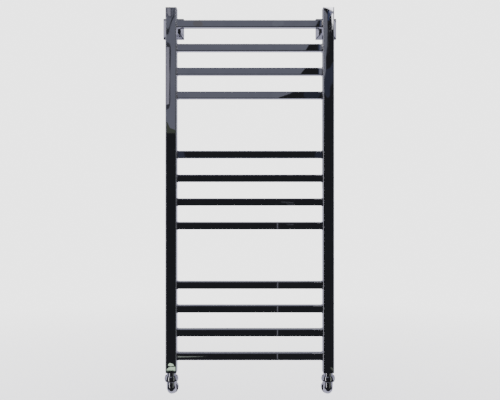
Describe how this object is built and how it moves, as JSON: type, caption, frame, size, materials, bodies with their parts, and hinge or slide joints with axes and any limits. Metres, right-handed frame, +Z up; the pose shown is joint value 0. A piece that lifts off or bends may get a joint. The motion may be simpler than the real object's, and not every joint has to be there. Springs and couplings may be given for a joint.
{
  "type": "ladder towel rail",
  "caption": "Wall-hung ladder towel rail of mirror-finish square tube, with telescopic wall brackets and union elbow connections.",
  "frame": {"origin": "centre of the four wall screws, on the wall plane at the height of the top rung", "axes": "+X to the right seen from the room, +Y into the wall, +Z up"},
  "size_m": [0.477, 0.0785, 1.0414],
  "materials": {
    "polished_rail": "mirror polish",
    "polished_fittings": "mirror polish",
    "polished_rosette": "mirror polish",
    "vent_metal": "bright plated",
    "bracket_steel": "zinc plated",
    "dark_screw": "black oxide",
    "olive_brass": "machined",
    "ring_rubber": "matte",
    "gasket_rubber": "matte"
  },
  "bodies": {
    "wall_side": {"left_wall_plate": "bracket_steel", "left_sleeve": "bracket_steel", "right_wall_plate": "bracket_steel", "right_sleeve": "bracket_steel"},
    "rail": {"rung_01": "polished_rail", "rung_02": "polished_rail", "rung_03": "polished_rail", "rung_04": "polished_rail", "rung_05": "polished_rail", "rung_06": "polished_rail", "rung_07": "polished_rail", "rung_08": "polished_rail", "rung_09": "polished_rail", "rung_10": "polished_rail", "rung_11": "polished_rail", "rung_12": "polished_rail", "left_post": "polished_rail", "left_top_cap": "polished_rail", "left_bottom_cap": "polished_rail", "left_vent_body": "vent_metal", "left_bracket_boss": "polished_rail", "left_bracket_stem": "polished_rail", "left_tailpiece": "polished_fittings", "left_union_gasket": "gasket_rubber", "right_post": "polished_rail", "right_top_cap": "polished_rail", "right_bottom_cap": "polished_rail", "right_vent_body": "vent_metal", "right_bracket_boss": "polished_rail", "right_bracket_stem": "polished_rail", "right_tailpiece": "polished_fittings", "right_union_gasket": "gasket_rubber"},
    "left_rosette_cover": {"left_rosette": "polished_rosette", "left_rosette_ring": "ring_rubber"},
    "left_grub": {"left_grub_screw": "dark_screw"},
    "left_vent": {"left_vent_screw": "vent_metal"},
    "left_union": {"left_union_nut": "polished_fittings"},
    "left_elbow_set": {"left_elbow": "polished_fittings", "left_olive": "olive_brass"},
    "left_rear_nut": {"left_pipe_nut": "polished_fittings"},
    "right_rosette_cover": {"right_rosette": "polished_rosette", "right_rosette_ring": "ring_rubber"},
    "right_grub": {"right_grub_screw": "dark_screw"},
    "right_vent": {"right_vent_screw": "vent_metal"},
    "right_union": {"right_union_nut": "polished_fittings"},
    "right_elbow_set": {"right_elbow": "polished_fittings", "right_olive": "olive_brass"},
    "right_rear_nut": {"right_pipe_nut": "polished_fittings"}
  },
  "joints": [
    {"name": "rail_slide", "type": "slide", "parent": "wall_side", "child": "rail", "axis": [0, 1, 0], "range_m": [-0.008, 0.006]},
    {"name": "left_rosette_slide", "type": "slide", "parent": "wall_side", "child": "left_rosette_cover", "axis": [0, -1, 0], "range_m": [0, 0.01]},
    {"name": "left_grub_turn", "type": "hinge", "parent": "wall_side", "child": "left_grub", "pos_m": [-0.21, -0.03, 0], "axis": [0, 0, -1], "range_deg": [0, 360]},
    {"name": "left_vent_turn", "type": "hinge", "parent": "rail", "child": "left_vent", "pos_m": [-0.21, -0.06, 0.04265], "axis": [0, 0, 1], "range_deg": [0, 540]},
    {"name": "left_union_turn", "type": "hinge", "parent": "rail", "child": "left_union", "pos_m": [-0.21, -0.06, -0.94835], "axis": [0, 0, 1], "continuous": true},
    {"name": "left_elbow_swivel", "type": "hinge", "parent": "rail", "child": "left_elbow_set", "pos_m": [-0.21, -0.06, -0.98085], "axis": [0, 0, 1], "range_deg": [-90, 90]},
    {"name": "left_pipe_nut_turn", "type": "hinge", "parent": "left_elbow_set", "child": "left_rear_nut", "pos_m": [-0.21, -0.028, -0.98085], "axis": [0, 1, 0], "continuous": true},
    {"name": "right_rosette_slide", "type": "slide", "parent": "wall_side", "child": "right_rosette_cover", "axis": [0, -1, 0], "range_m": [0, 0.01]},
    {"name": "right_grub_turn", "type": "hinge", "parent": "wall_side", "child": "right_grub", "pos_m": [0.21, -0.03, 0], "axis": [0, 0, -1], "range_deg": [0, 360]},
    {"name": "right_vent_turn", "type": "hinge", "parent": "rail", "child": "right_vent", "pos_m": [0.21, -0.06, 0.04265], "axis": [0, 0, 1], "range_deg": [0, 540]},
    {"name": "right_union_turn", "type": "hinge", "parent": "rail", "child": "right_union", "pos_m": [0.21, -0.06, -0.94835], "axis": [0, 0, 1], "continuous": true},
    {"name": "right_elbow_swivel", "type": "hinge", "parent": "rail", "child": "right_elbow_set", "pos_m": [0.21, -0.06, -0.98085], "axis": [0, 0, 1], "range_deg": [-90, 90]},
    {"name": "right_pipe_nut_turn", "type": "hinge", "parent": "right_elbow_set", "child": "right_rear_nut", "pos_m": [0.21, -0.028, -0.98085], "axis": [0, 1, 0], "continuous": true}
  ]
}
